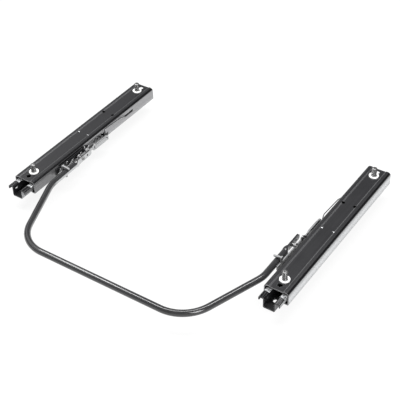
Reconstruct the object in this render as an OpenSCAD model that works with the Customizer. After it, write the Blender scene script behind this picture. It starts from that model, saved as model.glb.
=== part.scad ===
// Pair of seat slide rails joined by one release bar.
// X across the pair, Y towards the rear, Z up, millimetres.
// The underside of the lower rails is z = 0 and their bolt pattern is centred on the origin.

/* [Rails] */
// length of each rail
rail_len = 390; // [340:5:440]
// distance between the two rails' centre lines
rail_pitch = 564; // [480:2:620]
// outer width of the upper rail
rail_w = 48.8; // [47.4:0.2:52]
// height from the underside of the lower rail to the top of the upper rail
rail_h = 29.4; // [29:0.2:32]
// thickness of the rolled sheet
sheet = 2; // [1.6:0.1:2.2]
// how far the shoulders stand above the middle panel
shoulder_rise = 1.2; // [0.6:0.1:1.6]
// ground clearance of the upper rail's turned-in lips
lip_gap = 2; // [1.6:0.1:2.4]
// how far the upper rail is drawn behind the lower rail
shift = 24; // [14:10:44]

/* [Travel] */
// lock positions in front of the drawn one
steps_front = 8; // [4:1:9]
// lock positions behind the drawn one
steps_rear = 4; // [2:1:4]

/* [Ball tracks] */
// ball diameter
ball_d = 5.9; // [5.4:0.1:6.2]
// balls in each cage
cage_balls = 3; // [2:1:3]
// distance between neighbouring balls
ball_pitch = 20; // [16:1:22]
// cage length past its outer balls
cage_end = 7; // [5:0.5:9]
// running clearance of a ball above and below
ball_clear = 0.05; // [0.02:0.01:0.08]

/* [Bolting] */
// inset of the floor bolt holes from the lower rail's ends
floor_inset = 23; // [20:1:30]
// floor bolt hole diameter
floor_hole_d = 9; // [8.4:0.1:10]
// inset of the seat studs from the upper rail's ends, front
stud_front = 28; // [26:1:34]
// inset of the seat studs from the upper rail's ends, rear
stud_rear = 24; // [22:1:30]
// stud diameter
stud_d = 10; // [8:1:10]
// stud length above its washer
stud_len = 18; // [14:1:26]
// washer outer diameter
washer_d = 19; // [16:0.5:20]
// washer thickness
washer_t = 1.6; // [1.2:0.1:2.4]
// access hole near each end of the upper rail
access_d = 10; // [8:0.5:11]

/* [Latch] */
// distance between neighbouring lock notches
lock_pitch = 10; // [9:0.5:12]
// width of a latch tooth along the rail
tooth_w = 4.4; // [3.6:0.1:4.8]
// how far a tooth enters its notch
tooth_rise = 3.3; // [2.6:0.1:3.6]
// clearance of a tooth on each side in its notch
tooth_clear = 0.9; // [0.6:0.1:1]
// turn of the levers between locked and released
release_deg = 6; // [5.6:0.1:6.4]
// lever pivot behind the upper rail's front end
pivot_y = 150; // [140:1:156]
// lever pivot height
pivot_z = 16; // [15:0.5:17]
// stamped lever thickness
lever_t = 2.5; // [2:0.1:3]
// gap between the upper rail's wall and the lever
lever_off = 8; // [7:0.5:10]
// pivot pin diameter
pin_d = 6; // [5:0.5:7]
// running clearance of the lever on its pin, radial
pin_clear = 0.06; // [0.03:0.01:0.1]
// return spring wire diameter
wire_d = 1.8; // [1.4:0.1:2]

/* [Release bar] */
// tube diameter
bar_d = 13; // [11:0.5:14]
// tube wall
bar_wall = 1.5; // [1.2:0.1:2]
// crossbar in front of the upper rail's front end
bar_reach = 128; // [100:2:160]
// corner point of the leg behind the upper rail's front end
knee_y = 27; // [15:1:40]
// bend radius at the crossbar
bend_cross = 72; // [40:2:90]
// bend radius at the rails
bend_knee = 60; // [40:2:80]
// height of the tube centre at the leg's corner point
knee_z = 13.6; // [13:0.2:14.4]
// forward slope of the bar
bar_tilt = 1.4; // [1:0.1:2]
// height of the flattened tube end
blade_h = 12; // [10.5:0.5:13]
// thickness of the flattened tube end
blade_t = 3.6; // [3.2:0.1:4.4]

/* [Hidden] */
$fn = 48;
// how far a cutter reaches past what it cuts
over = 1;
half_pitch = rail_pitch / 2;
hw = rail_w / 2;
yl = -rail_len / 2;
yu = yl + shift;

// Rolled sections: bends, ball tracks, flanges and hooks
bend_in = 0.5;
bend = sheet + bend_in;
track_room = 1.5;
shoulder_r = ball_d / 2 + sheet + track_room;
track_x = hw - shoulder_r;
z_ball = rail_h - sheet - ball_clear - ball_d / 2;
z_lip = z_ball - ball_d / 2 - ball_clear;
lip_past_ball = 3;
flange_x = track_x + lip_past_ball;
flange_h = 7.5;
flange_bot = z_lip - flange_h;
hook_room = 7.3;
wall_x = flange_x - sheet - hook_room;
wall_gap = 2.3;
up_x = wall_x + wall_gap;
hook_over = 3;
up_top = flange_bot + hook_over;
panel_z = rail_h - shoulder_rise;
shoulder_in = 5.2;
panel_x = track_x - shoulder_in;
ramp = 1.8;
wall_in = hw - sheet;

// Punched details of the rails
dimple_r = 3.2;
dimple_cut_r = 2.4;
dimple_y = rail_len / 2 - 14;
dimple_x = panel_x - 1;
punch_d = 4.2;
punch_y = rail_len / 2 + 69;
crimp_r = 1.8;
crimp_in = 4;
crimp_out = 2.6;
crimp_drop = 4.6;
access_y = [12.5, rail_len - 9.5];
slot_in = 10;
slot_w = 7;
slot_h = 3.6;
slot_z = 11;

// Travel, cages and pads
slide_front = steps_front * lock_pitch;
slide_rear = steps_rear * lock_pitch;
cage_len = (cage_balls - 1) * ball_pitch + 2 * cage_end;
cage_room = 39;
cage_off = rail_len / 2 - cage_room - cage_len / 2;
cage_t = 1.3;
cage_drop = 1.2;
pocket_play = 0.1;
pocket_r = sqrt(pow(ball_d / 2, 2) - pow(cage_drop, 2)) + pocket_play;
cage_rim = 0.9;
cage_w = 2 * (pocket_r + cage_rim);
pad_in = 12;
pad_len = 32;
pad_clear = 0.3;
pad_chamfer = 0.6;
lug_len = 4.5;
lug_drop = 5;
lug_gap = 0.5;

// Studs and washers
stud_y = [stud_front, rail_len - stud_rear];
stud_head_d = stud_d + 5.5;
stud_head_h = 2.4;
stud_tip = 1;
neck_d = stud_d + 0.6;
washer_play = 0.4;
// play of studs and rivets in their holes, on the diameter
fit_play = 0.1;

// Latch teeth, notches and comb
tooth_first = 42;
tooth_y = [for (i = [0:2]) pivot_y + tooth_first + i * lock_pitch];
notch_w = tooth_w + 2 * tooth_clear;
notch_top = flange_bot + tooth_rise + 0.6;
comb_top = flange_bot - 0.5;
comb_t = 2;
comb_f = tooth_y[0] - tooth_w / 2 - 4;
comb_r = tooth_y[2] + tooth_w / 2 + 3.5;
comb_x = flange_x - sheet - 0.9;
tooth_t = sheet + 1.8;
riser_h = 8;
riser_past = 0.5;
window_room = 4;

// Pivot bracket and its rivets
bracket_t = 2;
bracket_half = 15;
bracket_front = 88;
bracket_front_half = 12;
bracket_front_above = 6;
bracket_top_half = 6;
bracket_below = 8.5;
bracket_above = 7;
bracket_side = 1;
boss_wall = 2.6;
boss_gap = 0.4;
rib_t = 2;
rib_back = 4;
pad_reach = 3.4;
// foot of each rib from the pivot, its lean to the front and its length
ribs = [[1, -6.7, 11, 17], [1, -6.7, -43, 15], [-84, -7, -35, 13], [-72, -7, 35, 13]];
// slanted pads pressed out of the bracket, as outlines from the pivot
pads = [[[-52, -5.5], [-47, -6], [-36, 1], [-40, 3]], [[-31, -6.2], [-26, -6.2], [-16, -3], [-22, -1]]];
// the rivets that hold the bracket, from the pivot
mount_rivets = [[-11, -3], [11, -3], [-54, 2]];
mount_rivet_r = 2;
rivet_head_r = 3.5;
rivet_head_tip_r = 2.4;
rivet_head_h = 1.6;

// Lever
lever_x = hw + lever_off;
bar_r = bar_d / 2;
bar_play = 0.5;
bar_x = lever_x + lever_t + bar_play + bar_r;
hook_y = knee_y + 48;
hook_z = round(10 * on_bar(hook_y, 0)[1]) / 10;
hook_t = 2.5;
hook_half = 3;
hook_r = 1.8;
hook_len = 14.3;
hook_slope = 8;
hook_up = 9.8;
hook_top = 12.2;
tab_len = 7.2;
tab_low = 13;
arm_below = 9;
arm_above = 0;
nose = 15;
nose_hole = 10;
nose_hole_r = 2.2;
arm_hole_y = pivot_y - 54;
arm_hole_r = 2.6;
arm_hole_drop = 3.5;
eye_r = 5.2;
neck_below = 6.2;
neck_h = 3.9;
lobe_r = 5.5;
lobe_drop = 6;
lobe_f = 22;
lobe_pad_r = 4.3;
lobe_pad_t = 1.4;
lobe_pad_f = 26;
lobe_pad_in = 12;
tail_in = 5;
tail_drop = 5;
tail_play = 0.3;
rivet_r = 2.5;
bar_rivet_head_r = 4;
bar_rivet_tip_r = 2.9;
bar_rivet_head_h = 1.8;
bar_rivet_y = pivot_y - 25;
bar_lug_r = 5.5;
bar_rivet = on_bar(bar_rivet_y, 0);

// Return spring
wire_y = rail_len - 99;
wire_z = pivot_z;
wire_out = 2.6;
wire_run = 19;
wire_rise = 7;
wire_near = 4;
wire_slot_f = 3;
wire_slot_len = 28;
wire_slot_h = 6;
wire_tip_in = 0.4;
wire_joint = 0.1;

// Release bar, with the slope of its legs from a triangle with sides 44, 117 and 125
leg_sin = 0.352;
leg_cos = 0.936;
leg_dy = bar_reach + knee_y;
leg_dx = leg_dy * leg_sin / leg_cos;
leg_len = leg_dy / leg_cos;
tan_knee = bend_knee * leg_sin / (1 + leg_cos);
tan_cross = bend_cross * leg_cos / (1 + leg_sin);
flat_len = 12;
blade_f = pivot_y - 37.5;
blade_r = pivot_y + 1.5;
blade_round = 5;
flat_flare = 1.4;
flat_above = 0.5;
blade_hole_r = 2.2;
blade_hole_in = 11.5;

// Placing helpers. A left rail is drawn with +X towards the middle of the pair.
module left() { translate([-half_pitch, 0, 0]) children(); }
module right() { mirror([1, 0, 0]) translate([-half_pitch, 0, 0]) children(); }
module on_upper() { translate([0, yu, 0]) children(); }
module on_lower() { translate([0, yl, 0]) children(); }
module along_y(len) { translate([0, len, 0]) rotate([90, 0, 0]) linear_extrude(len) children(); }
module along_x(x0, len) { translate([x0, 0, 0]) rotate([90, 0, 90]) linear_extrude(len) children(); }
module rod_x(x0, y, z, r, len) { translate([x0, y, z]) rotate([0, 90, 0]) cylinder(r = r, h = len); }
module both_sides() { children(); mirror([1, 0, 0]) children(); }
// place on the tilted bar, as [behind the upper rail's front end, height]: y along its centre line, h above that
function on_bar(y, h) = [knee_y + (y - knee_y) * cos(bar_tilt) - h * sin(bar_tilt),
  knee_z + (y - knee_y) * sin(bar_tilt) + h * cos(bar_tilt)];

// Quarter of a bent sheet's corner, centred on c and pointing to the quadrant (sx, sy)
module corner(c, r, sx, sy) {
  translate(c) intersection() {
    difference() {
      circle(r);
      circle(r - sheet);
    }
    translate([sx > 0 ? 0 : -r, sy > 0 ? 0 : -r]) square(r);
  }
}
module block2(x0, x1, z0, z1) { translate([x0, z0]) square([x1 - x0, z1 - z0]); }

// Section of the upper rail: middle panel, raised shoulders, walls and turned-in hooks
module upper_section() {
  block2(-panel_x, panel_x, panel_z - sheet, panel_z);
  both_sides() {
    polygon([[panel_x, panel_z - sheet], [panel_x, panel_z], [panel_x + ramp, rail_h], [panel_x + ramp, rail_h - sheet]]);
    block2(panel_x + ramp, track_x, rail_h - sheet, rail_h);
    corner([track_x, rail_h - shoulder_r], shoulder_r, 1, 1);
    block2(wall_in, hw, lip_gap + bend, rail_h - shoulder_r);
    corner([hw - bend, lip_gap + bend], bend, 1, -1);
    block2(up_x + bend, hw - bend, lip_gap, lip_gap + sheet);
    corner([up_x + bend, lip_gap + bend], bend, -1, -1);
    block2(up_x, up_x + sheet, lip_gap + bend, up_top);
  }
}

// Section of the lower rail: floor, walls, outward lips and turned-down flanges
module lower_section() {
  block2(-(wall_x - bend), wall_x - bend, 0, sheet);
  both_sides() {
    corner([wall_x - bend, bend], bend, 1, -1);
    block2(wall_x - sheet, wall_x, bend, z_lip - bend);
    corner([wall_x - sheet + bend, z_lip - bend], bend, -1, 1);
    block2(wall_x - sheet + bend, flange_x - bend, z_lip - sheet, z_lip);
    corner([flange_x - bend, z_lip - bend], bend, 1, 1);
    block2(flange_x - sheet, flange_x, flange_bot, z_lip - bend);
  }
}

// Hollow bump pressed down from the middle panel
module dimple(x, y) {
  translate([x, y, panel_z]) intersection() {
    sphere(dimple_r);
    translate([-dimple_r - over, -dimple_r - over, -dimple_r - over])
      cube([2 * (dimple_r + over), 2 * (dimple_r + over), dimple_r + over]);
  }
}

module panel_hole(x, y, d) { translate([x, y, panel_z - sheet - over]) cylinder(d = d, h = sheet + 2 * over); }

module upper_rail() {
  color("dimgray") on_upper() difference() {
    union() {
      along_y(rail_len) upper_section();
      // pressed dimples that keep the front ball cages in place
      for (s = [-1, 1]) dimple(s * dimple_x, dimple_y);
      // crimps that keep the cages from running out at the ends
      for (y = [crimp_in, rail_len - crimp_in], s = [-1, 1])
        translate([s * (track_x + crimp_out), y, rail_h - crimp_drop]) sphere(crimp_r);
    }
    for (s = [-1, 1]) translate([s * dimple_x, dimple_y, panel_z + 0.2]) sphere(dimple_cut_r);
    for (s = [-1, 1]) panel_hole(s * dimple_x, punch_y, punch_d);
    for (y = stud_y) panel_hole(0, y, neck_d + fit_play);
    for (y = access_y) panel_hole(0, y, access_d);
    // window for the latch comb, through the inner wall and its turned-in lip
    translate([up_x + sheet + 0.01, comb_f - window_room, -over])
      cube([hw, comb_r - comb_f + 2 * window_room, notch_top + 1.2 + over]);
    // slot that anchors the return spring
    translate([wall_in - over, wire_y - wire_slot_f, wire_z - wire_slot_h / 2])
      cube([sheet + 2 * over, wire_slot_len, wire_slot_h]);
    // rivet holes of the pivot bracket
    for (m = mount_rivets)
      rod_x(wall_in - over, pivot_y + m[0], pivot_z + m[1], mount_rivet_r + fit_play / 2, sheet + 2 * over);
  }
}

module lower_rail() {
  lug_y = [shift + slide_rear + pad_in + pad_len + lug_gap,
    shift - slide_front + rail_len - pad_in - pad_len - lug_gap - lug_len];
  color("gray") on_lower() difference() {
    union() {
      along_y(rail_len) lower_section();
      // stop lugs on the outer flange, met by the guide pads at the ends of travel
      for (y = lug_y) translate([-flange_x, y, flange_bot - lug_drop]) cube([sheet, lug_len, lug_drop + over]);
    }
    for (y = [floor_inset, rail_len - floor_inset])
      translate([0, y, -over]) cylinder(d = floor_hole_d, h = sheet + 2 * over);
    // slots near the ends of both walls
    for (y = [slot_in, rail_len - slot_in])
      translate([-wall_x - over, y - slot_w / 2, slot_z]) cube([2 * (wall_x + over), slot_w, slot_h]);
    // row of lock notches in the inner flange
    for (i = [-steps_front:steps_rear + 2])
      translate([flange_x - sheet - over, shift + tooth_y[0] + i * lock_pitch - notch_w / 2, flange_bot - over])
        cube([sheet + 2 * over, notch_w, notch_top - flange_bot + over]);
  }
}

// Ball cages and balls, one cage near each end of each track
module cage_centres() {
  for (s = [-1, 1], c = [-1, 1])
    translate([s * track_x, rail_len / 2 + shift / 2 + c * cage_off, z_ball]) children();
}
module ball_centres() {
  for (i = [0:cage_balls - 1]) translate([0, (i - (cage_balls - 1) / 2) * ball_pitch, 0]) children();
}
module ball_cages() {
  color("tan") on_lower() cage_centres() difference() {
    translate([-cage_w / 2, -cage_len / 2, -cage_drop - cage_t]) cube([cage_w, cage_len, cage_t]);
    ball_centres() translate([0, 0, -ball_d]) cylinder(r = pocket_r, h = ball_d);
  }
}
module balls() {
  color("silver") on_lower() cage_centres() ball_centres() sphere(d = ball_d);
}

// Guide pads in the hooks, under the lower rail's flanges
module guide_pads() {
  x0 = up_x + sheet;
  z0 = lip_gap + sheet;
  z1 = flange_bot - pad_clear;
  color("ivory") on_upper() both_sides() for (y = [pad_in, rail_len - pad_in - pad_len]) translate([0, y, 0])
    along_y(pad_len) polygon([[x0, z0 + pad_chamfer], [x0 + pad_chamfer, z0], [wall_in - pad_chamfer, z0],
      [wall_in, z0 + pad_chamfer], [wall_in, z1], [x0, z1]]);
}

module stud(y) {
  top = panel_z + washer_t + stud_len;
  color("silver") on_upper() translate([0, y, 0]) {
    translate([0, 0, panel_z - sheet - stud_head_h]) cylinder(d = stud_head_d, h = stud_head_h);
    translate([0, 0, panel_z - sheet - stud_head_h / 2]) cylinder(d = neck_d, h = sheet + stud_head_h / 2 + washer_t);
    translate([0, 0, panel_z]) cylinder(d = stud_d, h = top - stud_tip - panel_z);
    translate([0, 0, top - stud_tip]) cylinder(d1 = stud_d, d2 = stud_d - 2 * stud_tip, h = stud_tip);
  }
}
module washer(y) {
  color("white") on_upper() translate([0, y, panel_z]) difference() {
    cylinder(d = washer_d, h = washer_t);
    translate([0, 0, -over]) cylinder(d = neck_d + washer_play, h = washer_t + 2 * over);
  }
}

// Bracket on the inner wall of the upper rail that carries the lever's pivot
module pivot_bracket() {
  side_z = pivot_z + bracket_side;
  color("silver") on_upper() difference() {
    union() {
      along_x(hw, bracket_t) difference() {
        polygon([[pivot_y - bracket_front, pivot_z - bracket_below], [pivot_y + bracket_half, pivot_z - bracket_below],
          [pivot_y + bracket_half, side_z], [pivot_y + bracket_top_half, pivot_z + bracket_above],
          [pivot_y - bracket_top_half, pivot_z + bracket_above],
          [pivot_y - bracket_front_half, pivot_z + bracket_front_above],
          [pivot_y - bracket_front, pivot_z + bracket_front_above]]);
        translate([pivot_y, pivot_z]) for (m = mount_rivets) translate(m) circle(mount_rivet_r + fit_play / 2);
      }
      rod_x(hw + 1, pivot_y, pivot_z, pin_d / 2 + boss_wall, lever_off - 1 - boss_gap);
      along_x(hw + 0.6, pad_reach) translate([pivot_y, pivot_z]) for (w = pads) polygon(w);
      // the slanted ribs at the pivot and at the front
      along_x(hw + 0.8, lever_off - rib_back) for (r = ribs) translate([pivot_y + r[0], pivot_z + r[1]])
        rotate(r[2]) translate([-rib_t / 2, 0]) square([rib_t, r[3]]);
    }
    rod_x(hw - over, pivot_y, pivot_z, pin_d / 2, lever_off + 2 * over);
  }
}
module bracket_rivets() {
  color("silver") on_upper() for (m = mount_rivets)
    translate([0, pivot_y + m[0], pivot_z + m[1]]) {
      rod_x(wall_in, 0, 0, mount_rivet_r, sheet + bracket_t + 0.4);
      translate([hw + bracket_t, 0, 0]) rotate([0, 90, 0])
        cylinder(r1 = rivet_head_r, r2 = rivet_head_tip_r, h = rivet_head_h);
    }
}
module pivot_pin() {
  color("silver") on_upper() rod_x(hw, pivot_y, pivot_z, pin_d / 2, lever_off + lever_t - 0.1);
}

// The comb is level when the latch is locked, so it is drawn turned down about the pivot
module turned() {
  translate([0, pivot_y, pivot_z]) rotate([-release_deg, 0, 0]) translate([0, -pivot_y, -pivot_z]) children();
}
// Flat outline of the lever: hook plate, arm, eye of the pivot, neck, rear lobe and the riser of the comb
module lever_outline() {
  lobe_z = pivot_z - lobe_drop;
  translate([hook_y - hook_half, hook_z - tab_low]) square([2 * hook_half, hook_top + tab_low]);
  difference() {
    translate([hook_y - nose, pivot_z - arm_below]) square([pivot_y - hook_y + nose, arm_below + arm_above]);
    for (h = [[hook_y - nose_hole, nose_hole_r], [arm_hole_y, arm_hole_r]])
      translate([h[0], pivot_z - arm_hole_drop]) circle(h[1]);
  }
  translate([pivot_y, pivot_z]) circle(eye_r);
  translate(bar_rivet) circle(bar_lug_r);
  translate([pivot_y, pivot_z - neck_below]) square([lobe_f, neck_h]);
  translate([pivot_y + lobe_f, lobe_z - lobe_r]) square([comb_r - lobe_r - pivot_y - lobe_f, 2 * lobe_r]);
  translate([pivot_y + lobe_f, lobe_z]) circle(lobe_r);
  translate([comb_r - lobe_r, lobe_z]) circle(lobe_r);
  translate([pivot_y, pivot_z]) rotate(-release_deg)
    translate([comb_f - riser_past - pivot_y, comb_top - comb_t - riser_past - pivot_z])
      square([comb_r - comb_f + 2 * riser_past, riser_h]);
}
// Hook or tab beside the tube, sloping down from the lever's plate to a rounded tip
module lever_hook(len, z, slope) {
  translate([lever_x + lever_t / 2, hook_y, z]) rotate([0, slope, 0]) {
    translate([0, -hook_r, 0]) cube([len, 2 * hook_r, hook_t]);
    translate([len, 0, 0]) cylinder(r = hook_r, h = hook_t);
  }
}
module latch_lever() {
  mid_x = lever_x + lever_t / 2;
  color("darkgray") on_upper() difference() {
    union() {
      along_x(lever_x, lever_t) lever_outline();
      lever_hook(hook_len, hook_z + hook_up, hook_slope);
      lever_hook(tab_len, hook_z - tab_low, 0);
      // raised pad on the rear lobe
      along_x(mid_x, lever_t / 2 + lobe_pad_t) {
        translate([pivot_y + lobe_pad_f, pivot_z - lobe_drop - lobe_pad_r])
          square([comb_r - lobe_pad_in - pivot_y - lobe_pad_f, 2 * lobe_pad_r]);
        for (y = [pivot_y + lobe_pad_f, comb_r - lobe_pad_in])
          translate([y, pivot_z - lobe_drop]) circle(lobe_pad_r);
      }
      turned() {
        translate([comb_x, comb_f, comb_top - comb_t]) cube([mid_x - comb_x, comb_r - comb_f, comb_t]);
        for (y = tooth_y) translate([comb_x, y - tooth_w / 2, comb_top - comb_t / 2])
          cube([tooth_t, tooth_w, flange_bot + tooth_rise - comb_top + comb_t / 2]);
      }
    }
    rod_x(lever_x - over, pivot_y, pivot_z, pin_d / 2 + pin_clear, lever_t + 2 * over);
    rod_x(lever_x - over, comb_r - tail_in, pivot_z - tail_drop, wire_d / 2 + tail_play, lever_t + 4 * over);
    rod_x(lever_x - over, bar_rivet[0], bar_rivet[1], rivet_r + fit_play / 2, lever_t + 2 * over);
  }
}

// Rivet that holds the flattened tube end to the lever
module bar_rivet() {
  face_x = lever_x + lever_t;
  near_x = bar_x - blade_t / 2;
  far_x = bar_x + blade_t / 2;
  color("silver") on_upper() {
    rod_x(lever_x - 0.5, bar_rivet[0], bar_rivet[1], rivet_r, far_x - lever_x + 1);
    rod_x(face_x, bar_rivet[0], bar_rivet[1], bar_rivet_head_r, near_x - face_x);
    for (end = [[lever_x, -90], [far_x, 90]]) translate([end[0], bar_rivet[0], bar_rivet[1]]) rotate([0, end[1], 0])
      cylinder(r1 = bar_rivet_head_r, r2 = bar_rivet_tip_r, h = bar_rivet_head_h);
  }
}

// Return spring: a bent wire from a slot in the rail's wall to the lever's tail
module wire(p, q) {
  v = q - p;
  l = norm(v);
  translate(p) rotate([0, acos(v[2] / l), atan2(v[1], v[0])]) cylinder(d = wire_d, h = l);
}
module return_spring() {
  tail_y = comb_r - tail_in;
  tail_z = pivot_z - tail_drop;
  pts = [[wall_in + wire_tip_in, wire_y, wire_z], [hw + wire_out, wire_y, wire_z],
    [hw + wire_out, wire_y - wire_run, wire_z + wire_rise], [lever_x - wire_near, tail_y, tail_z],
    [lever_x + lever_t + wire_out, tail_y, tail_z]];
  color("silver") on_upper() {
    for (i = [0:3]) wire(pts[i], pts[i + 1]);
    for (i = [1:3]) translate(pts[i]) sphere(d = wire_d + wire_joint);
  }
}

// Release bar: one bent tube with both ends flattened into riveted blades.
// Its runs and turns follow each other along +Y, and every turn is to the left.
module tube_ring() {
  difference() {
    circle(bar_r);
    circle(bar_r - bar_wall);
  }
}
module run(len) {
  rotate([-90, 0, 0]) linear_extrude(len) tube_ring();
  translate([0, len, 0]) children();
}
module turn(r, c, s) {
  far = 4 * r;
  translate([-r, 0, 0]) {
    intersection() {
      rotate_extrude() translate([r, 0]) tube_ring();
      translate([0, 0, -bar_d]) linear_extrude(2 * bar_d) polygon([[0, 0], [far, 0], [far * c, far * s]]);
    }
    multmatrix([[c, -s, 0, 0], [s, c, 0, 0], [0, 0, 1, 0], [0, 0, 0, 1]]) translate([r, 0, 0]) children();
  }
}
// Flattened end, drawn from the end of the tube with the rail on its +X side
module blade() {
  x0 = -blade_t / 2;
  y1 = flat_len + blade_r - blade_f;
  half = blade_h / 2;
  intersection() {
    rotate([-90, 0, 0]) cylinder(r1 = bar_r, r2 = bar_r * flat_flare, h = flat_len);
    translate([0, 0, -bar_r - flat_above]) linear_extrude(2 * (bar_r + flat_above))
      polygon([[-bar_r, 0], [bar_r, 0], [-x0, flat_len], [x0, flat_len]]);
  }
  difference() {
    along_x(x0, blade_t) {
      translate([flat_len, -half]) square([y1 - flat_len - blade_round, blade_h]);
      translate([flat_len, -half + blade_round]) square([y1 - flat_len, blade_h - 2 * blade_round]);
      for (s = [-1, 1]) translate([y1 - blade_round, s * (half - blade_round)]) circle(blade_round);
    }
    rod_x(x0 - over, flat_len + bar_rivet_y - blade_f, 0, rivet_r + fit_play / 2, blade_t + 2 * over);
    rod_x(x0 - over, flat_len + pivot_y - blade_hole_in - blade_f, 0, blade_hole_r, blade_t + 2 * over);
  }
}
module release_bar() {
  end = blade_f - flat_len - knee_y - tan_knee;
  leg = leg_len - tan_knee - tan_cross;
  cross = 2 * (half_pitch - bar_x - leg_dx - tan_cross);
  color("black") translate([0, yu + knee_y, knee_z]) rotate([bar_tilt, 0, 0])
    translate([-half_pitch + bar_x, tan_knee + end, 0]) rotate([0, 0, 180]) {
      mirror([0, 1, 0]) blade();
      run(end) turn(bend_knee, leg_cos, leg_sin) run(leg) turn(bend_cross, leg_sin, leg_cos) run(cross)
        turn(bend_cross, leg_sin, leg_cos) run(leg) turn(bend_knee, leg_cos, leg_sin) run(end) blade();
    }
}

left() lower_rail();  // left_lower_rail
right() lower_rail();  // right_lower_rail
left() upper_rail();  // left_upper_rail
right() upper_rail();  // right_upper_rail
left() ball_cages();  // left_ball_cages
right() ball_cages();  // right_ball_cages
left() balls();  // left_balls
right() balls();  // right_balls
left() guide_pads();  // left_guide_pads
right() guide_pads();  // right_guide_pads
left() stud(stud_y[0]);  // left_front_stud
left() stud(stud_y[1]);  // left_rear_stud
right() stud(stud_y[0]);  // right_front_stud
right() stud(stud_y[1]);  // right_rear_stud
left() washer(stud_y[0]);  // left_front_washer
left() washer(stud_y[1]);  // left_rear_washer
right() washer(stud_y[0]);  // right_front_washer
right() washer(stud_y[1]);  // right_rear_washer
left() pivot_bracket();  // left_pivot_bracket
right() pivot_bracket();  // right_pivot_bracket
left() bracket_rivets();  // left_bracket_rivets
right() bracket_rivets();  // right_bracket_rivets
left() pivot_pin();  // left_pivot_pin
right() pivot_pin();  // right_pivot_pin
left() return_spring();  // left_return_spring
right() return_spring();  // right_return_spring
left() latch_lever();  // left_latch_lever
right() latch_lever();  // right_latch_lever
left() bar_rivet();  // left_bar_rivet
right() bar_rivet();  // right_bar_rivet
release_bar();
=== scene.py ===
"""Looks of a pair of seat slide rails with a release bar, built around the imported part.

Laid out as a Blender add-on: sizes and colours are properties, and each operator finishes or
builds one group of like pieces. Metres, +Z up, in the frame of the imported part.
"""

import math

import bpy
import numpy as np
from bpy.props import FloatProperty, FloatVectorProperty, IntProperty, PointerProperty
from mathutils import Matrix, Vector


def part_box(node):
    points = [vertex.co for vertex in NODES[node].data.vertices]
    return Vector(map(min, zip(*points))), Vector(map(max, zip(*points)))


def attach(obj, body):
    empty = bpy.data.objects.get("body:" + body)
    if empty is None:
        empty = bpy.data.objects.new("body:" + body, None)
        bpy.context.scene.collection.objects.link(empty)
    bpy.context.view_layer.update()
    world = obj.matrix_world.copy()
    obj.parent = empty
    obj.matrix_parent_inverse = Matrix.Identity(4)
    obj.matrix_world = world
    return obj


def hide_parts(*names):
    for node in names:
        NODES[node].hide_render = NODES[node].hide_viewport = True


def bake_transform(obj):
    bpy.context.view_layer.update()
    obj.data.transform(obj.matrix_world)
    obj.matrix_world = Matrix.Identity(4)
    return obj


bl_info = {
    "name": "Seat Slide Rails",
    "version": (1, 0, 0),
    "blender": (4, 5, 0),
    "location": "View3D > Sidebar > Slide Rails",
    "description": "Finishes, stud threads and return springs of a pair of seat slide rails",
    "category": "Object",
}

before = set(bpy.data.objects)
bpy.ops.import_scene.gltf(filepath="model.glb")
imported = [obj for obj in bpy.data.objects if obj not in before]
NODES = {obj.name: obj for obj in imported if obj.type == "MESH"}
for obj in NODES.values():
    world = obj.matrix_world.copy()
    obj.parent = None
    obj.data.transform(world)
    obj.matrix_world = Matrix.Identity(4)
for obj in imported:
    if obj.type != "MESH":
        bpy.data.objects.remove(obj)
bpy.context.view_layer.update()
SIDES = ("left", "right")
MM = 0.001

# the right upper rail: distance of its centre line from the middle of the pair, half its width,
# its top, its front end and its middle
RAIL_LOW, RAIL_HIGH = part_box("right_upper_rail")
RAIL_X = (RAIL_LOW.x + RAIL_HIGH.x) / 2
HALF_W = (RAIL_HIGH.x - RAIL_LOW.x) / 2
TOP_Z = RAIL_HIGH.z
FRONT_Y = RAIL_LOW.y
MID_Y = (RAIL_LOW.y + RAIL_HIGH.y) / 2
# the ramps from the lowered panel up to the shoulders, measured from the rail's centre line
RAMP_IN = HALF_W - 12.2 * MM
RAMP_OUT = HALF_W - 9.2 * MM
# pressed dimples in front of the rail's middle and punched holes behind it, with the reach of the
# light and shade painted on them
HOLES_X = HALF_W - 12.65 * MM
DIMPLE_Y = MID_Y - 14 * MM
DIMPLE_R = 2.3 * MM
PUNCH_Y = MID_Y + 69 * MM
PUNCH_R = 3.4 * MM
# the latch levers turn about the pivot pins, and the wall before and behind them is painted black
# as shade
PIN_LOW, PIN_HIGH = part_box("right_pivot_pin")
LATCH_Y = (PIN_LOW.y + PIN_HIGH.y) / 2
DARK_BEFORE = 80 * MM
DARK_BEHIND = 82 * MM
# the lower rails' flanges, measured from the centre line, and their lips
FLANGE_X = HALF_W - 6 * MM
LIP_Z = TOP_Z - 8.6 * MM
# how far the brackets' plates stand off the rails
PLATE_OFF = 2.1 * MM

BLACK = (0.004, 0.004, 0.004, 1.0)
WHITE = (1.0, 1.0, 1.0, 1.0)
# noise cycles a metre along each axis
UPPER_GRAIN = (620.0, 7.0, 620.0)
LOWER_GRAIN = (620.0, 9.0, 620.0)
SCUFF_GRAIN = (260.0, 60.0, 260.0)
LEVER_GRAIN = (40.0, 300.0, 300.0)
PIN_GRAIN = (500.0, 500.0, 500.0)
STUD_GRAIN = (300.0, 300.0, 900.0)
WIRE_GRAIN = (900.0, 60.0, 900.0)
BALL_GRAIN = (300.0, 300.0, 300.0)

# mesh edges that bend more than this stay sharp
SHARP_ANGLE = math.radians(38)
# slope of the thread's flanks and width of its crests
FLANK = 1.6
CREST = 0.25
# rows of a stud's tip, as shares of its height and of the stud's radius
TIP_SHAPE = ((0.0, 0.93), (0.5, 0.8), (0.85, 0.62), (1.0, 0.36), (0.82, 0.2))
# radius of a wire's end rings, as a share of the wire's own
WIRE_END = 0.55

FLOOR_HALF = 8.0
# share of plain white in what the camera sees of the floor
FLOOR_GLOW = 0.86
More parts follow.
